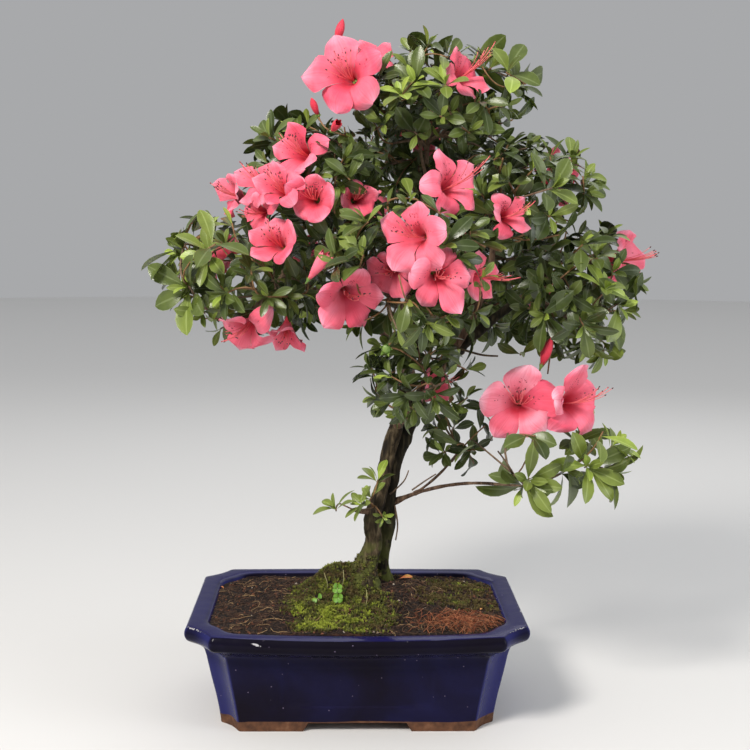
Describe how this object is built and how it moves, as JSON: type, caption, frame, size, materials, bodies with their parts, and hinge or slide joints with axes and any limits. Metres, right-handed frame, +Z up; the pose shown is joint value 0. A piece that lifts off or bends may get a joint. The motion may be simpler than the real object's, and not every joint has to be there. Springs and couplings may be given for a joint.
{
  "type": "azalea bonsai in a pot",
  "caption": "Flowering azalea bonsai with a twin trunk, tiered boughs, leaf masses and coral blossom, standing in soil in a low rectangular glazed pot with cut corners and feet.",
  "frame": {"origin": "bottom centre of the whole plant's box, on the surface that the pot's feet stand on", "axes": "+X to the plant's right as seen from its front, +Y from front to back, +Z up"},
  "size_m": [0.3934, 0.3046, 0.524],
  "materials": {
    "pot_glaze": "thick glossy cobalt blue glaze, paler where it breaks over edges, chipped in places, with bare brown clay at the feet",
    "soil": "damp dark brown peat and grit with fibres, matt",
    "bark": "thin grey-brown bark with fine furrows, matt",
    "leaves": "glossy leathery green leaves, young ones yellow-green",
    "petals": "thin soft coral pink petals with a satin sheen",
    "moss": "soft yellow-green moss, matt",
    "clay": "bare fired brown clay, matt"
  },
  "bodies": {
    "root": {"pot": "pot_glaze", "soil": "soil", "trunk_front": "bark", "trunk_rear": "bark", "bough_sprig": "bark", "bough_lower_right": "bark", "bough_lower_inner": "bark", "bough_lower_front": "bark", "bough_front": "bark", "bough_left": "bark", "bough_back_left": "bark", "bough_upper_left": "bark", "bough_back_top": "bark", "bough_upper_right": "bark", "bough_back_right": "bark", "leaves_sprig": "leaves", "leaves_lower_right": "leaves", "leaves_lower_inner": "leaves", "leaves_lower_front": "leaves", "leaves_front": "leaves", "leaves_left": "leaves", "leaves_back_left": "leaves", "leaves_upper_left": "leaves", "leaves_back_top": "leaves", "leaves_top": "leaves", "leaves_upper_right": "leaves", "leaves_right": "leaves", "leaves_back_right": "leaves"}
  },
  "joints": []
}
